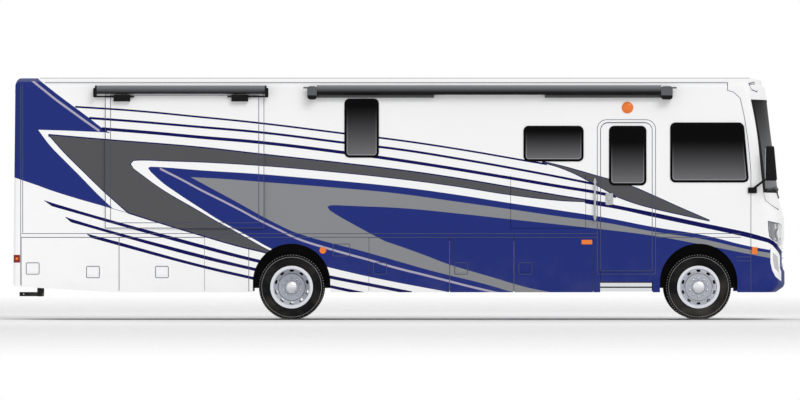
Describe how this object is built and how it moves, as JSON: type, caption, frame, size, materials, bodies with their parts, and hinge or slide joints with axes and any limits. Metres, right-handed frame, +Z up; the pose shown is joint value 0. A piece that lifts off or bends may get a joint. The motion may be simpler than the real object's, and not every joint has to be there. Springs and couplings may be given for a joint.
{
  "type": "motorhome",
  "caption": "Large front-engined motorhome with a flat side, two slide-out rooms, storage bay doors and an entry door.",
  "frame": {"origin": "on the ground, half way along the coach and half way across it", "axes": "+X forward, +Y to the left, +Z up"},
  "size_m": [11.6832, 3.2, 3.66],
  "materials": {
    "alloy": "polished",
    "amber": "glossy",
    "awning_metal": "gloss",
    "black_plastic": "satin",
    "deck_ply": "sealed",
    "fibreglass": "glossy gel coat",
    "frame_steel": "satin black",
    "galvanised": "dull",
    "glass": "dark tinted",
    "iron": "rough",
    "lens": "clear",
    "red_lens": "glossy",
    "seat_fabric": "woven",
    "trim_plastic": "grained",
    "tyre": "matte"
  },
  "bodies": {
    "root": {"right_wall": "fibreglass", "left_wall": "fibreglass", "side_glass": "glass", "arch_skirts": "fibreglass", "roof_panel": "fibreglass", "rear_cap": "fibreglass", "front_cap": "fibreglass", "headlamps": "lens", "windshield": "glass", "front_bumper": "fibreglass", "grille": "black_plastic", "floor_deck": "deck_ply", "stairwell": "black_plastic", "rear_bays": "galvanised", "mid_bays": "galvanised", "hatch_box": "galvanised", "awning": "awning_metal", "chassis_frame": "frame_steel", "front_axle": "frame_steel", "rear_axle": "frame_steel", "engine_block": "iron", "drive_shaft": "frame_steel", "fuel_tank": "black_plastic", "exhaust_pipe": "galvanised", "wheel_wells": "black_plastic", "mirrors": "black_plastic", "marker_lamps": "amber", "tail_lamps": "red_lens", "dashboard": "trim_plastic", "steering_wheel": "black_plastic", "cab_seats": "seat_fabric"},
    "bay_door_r1": {"bay_door_r1": "fibreglass"},
    "bay_door_r2": {"bay_door_r2": "fibreglass"},
    "bay_door_r3": {"bay_door_r3": "fibreglass"},
    "bay_door_r4": {"bay_door_r4": "fibreglass"},
    "bay_door_r5": {"bay_door_r5": "fibreglass"},
    "bay_door_l1": {"bay_door_l1": "fibreglass"},
    "bay_door_l2": {"bay_door_l2": "fibreglass"},
    "bay_door_l3": {"bay_door_l3": "fibreglass"},
    "bay_door_l4": {"bay_door_l4": "fibreglass"},
    "entry_door": {"entry_door": "fibreglass", "entry_glass": "glass"},
    "hatch_lid": {"hatch_lid": "fibreglass"},
    "room_right": {"room_right": "fibreglass", "slide_topper": "awning_metal"},
    "room_left": {"room_left": "fibreglass", "room_glass": "glass"},
    "outer_step": {"outer_step": "frame_steel"},
    "knuckle_right": {"knuckle_right": "frame_steel"},
    "front_wheel_right": {"front_tyre_right": "tyre", "front_rim_right": "alloy"},
    "rear_wheels_right": {"rear_tyres_right": "tyre", "rear_rims_right": "alloy"},
    "knuckle_left": {"knuckle_left": "frame_steel"},
    "front_wheel_left": {"front_tyre_left": "tyre", "front_rim_left": "alloy"},
    "rear_wheels_left": {"rear_tyres_left": "tyre", "rear_rims_left": "alloy"}
  },
  "joints": [
    {"name": "bay_door_r1_hinge", "type": "hinge", "parent": "root", "child": "bay_door_r1", "pos_m": [-4.981, -1.2955, 1.241], "axis": [-1, 0, 0], "range_deg": [0, 90]},
    {"name": "bay_door_r2_hinge", "type": "hinge", "parent": "root", "child": "bay_door_r2", "pos_m": [-3.595, -1.2955, 1.241], "axis": [-1, 0, 0], "range_deg": [0, 90]},
    {"name": "bay_door_r3_hinge", "type": "hinge", "parent": "root", "child": "bay_door_r3", "pos_m": [0.743, -1.2955, 0.829], "axis": [0, 0, 1], "range_deg": [0, 90]},
    {"name": "bay_door_r4_hinge", "type": "hinge", "parent": "root", "child": "bay_door_r4", "pos_m": [1.714, -1.2955, 0.829], "axis": [0, 0, 1], "range_deg": [0, 90]},
    {"name": "bay_door_r5_hinge", "type": "hinge", "parent": "root", "child": "bay_door_r5", "pos_m": [2.914, -1.2955, 0.829], "axis": [0, 0, 1], "range_deg": [0, 90]},
    {"name": "bay_door_l1_hinge", "type": "hinge", "parent": "root", "child": "bay_door_l1", "pos_m": [-4.981, 1.2955, 1.241], "axis": [1, 0, 0], "range_deg": [0, 90]},
    {"name": "bay_door_l2_hinge", "type": "hinge", "parent": "root", "child": "bay_door_l2", "pos_m": [-3.595, 1.2955, 1.241], "axis": [1, 0, 0], "range_deg": [0, 90]},
    {"name": "bay_door_l3_hinge", "type": "hinge", "parent": "root", "child": "bay_door_l3", "pos_m": [1.081, 1.2955, 0.829], "axis": [0, 0, -1], "range_deg": [0, 90]},
    {"name": "bay_door_l4_hinge", "type": "hinge", "parent": "root", "child": "bay_door_l4", "pos_m": [2.914, 1.2955, 0.829], "axis": [0, 0, -1], "range_deg": [0, 90]},
    {"name": "entry_door_hinge", "type": "hinge", "parent": "root", "child": "entry_door", "pos_m": [3.816, -1.2955, 1.854], "axis": [0, 0, 1], "range_deg": [0, 100]},
    {"name": "hatch_lid_hinge", "type": "hinge", "parent": "root", "child": "hatch_lid", "pos_m": [2.237, -1.2955, 2.1827], "axis": [-1, 0, 0], "range_deg": [0, 90]},
    {"name": "room_right_slide", "type": "slide", "parent": "root", "child": "room_right", "axis": [0, -1, 0], "range_m": [0, 0.56]},
    {"name": "room_left_slide", "type": "slide", "parent": "root", "child": "room_left", "axis": [0, 1, 0], "range_m": [0, 0.56]},
    {"name": "outer_step_slide", "type": "slide", "parent": "root", "child": "outer_step", "axis": [0, -1, 0], "range_m": [0, 0.2]},
    {"name": "steer_right", "type": "hinge", "parent": "root", "child": "knuckle_right", "pos_m": [4.51, -0.985, 0.495], "axis": [0, 0, 1], "range_deg": [-38, 38]},
    {"name": "front_spin_right", "type": "hinge", "parent": "knuckle_right", "child": "front_wheel_right", "pos_m": [4.51, -1.08, 0.495], "axis": [0, 1, 0], "continuous": true},
    {"name": "rear_spin_right", "type": "hinge", "parent": "root", "child": "rear_wheels_right", "pos_m": [-1.637, -1.005, 0.495], "axis": [0, 1, 0], "continuous": true},
    {"name": "steer_left", "type": "hinge", "parent": "root", "child": "knuckle_left", "pos_m": [4.51, 0.985, 0.495], "axis": [0, 0, 1], "range_deg": [-38, 38]},
    {"name": "front_spin_left", "type": "hinge", "parent": "knuckle_left", "child": "front_wheel_left", "pos_m": [4.51, 1.08, 0.495], "axis": [0, 1, 0], "continuous": true},
    {"name": "rear_spin_left", "type": "hinge", "parent": "root", "child": "rear_wheels_left", "pos_m": [-1.637, 1.005, 0.495], "axis": [0, 1, 0], "continuous": true}
  ],
  "couplings": [
    {"joint": "steer_left", "follows": "steer_right", "ratio": 1}
  ]
}
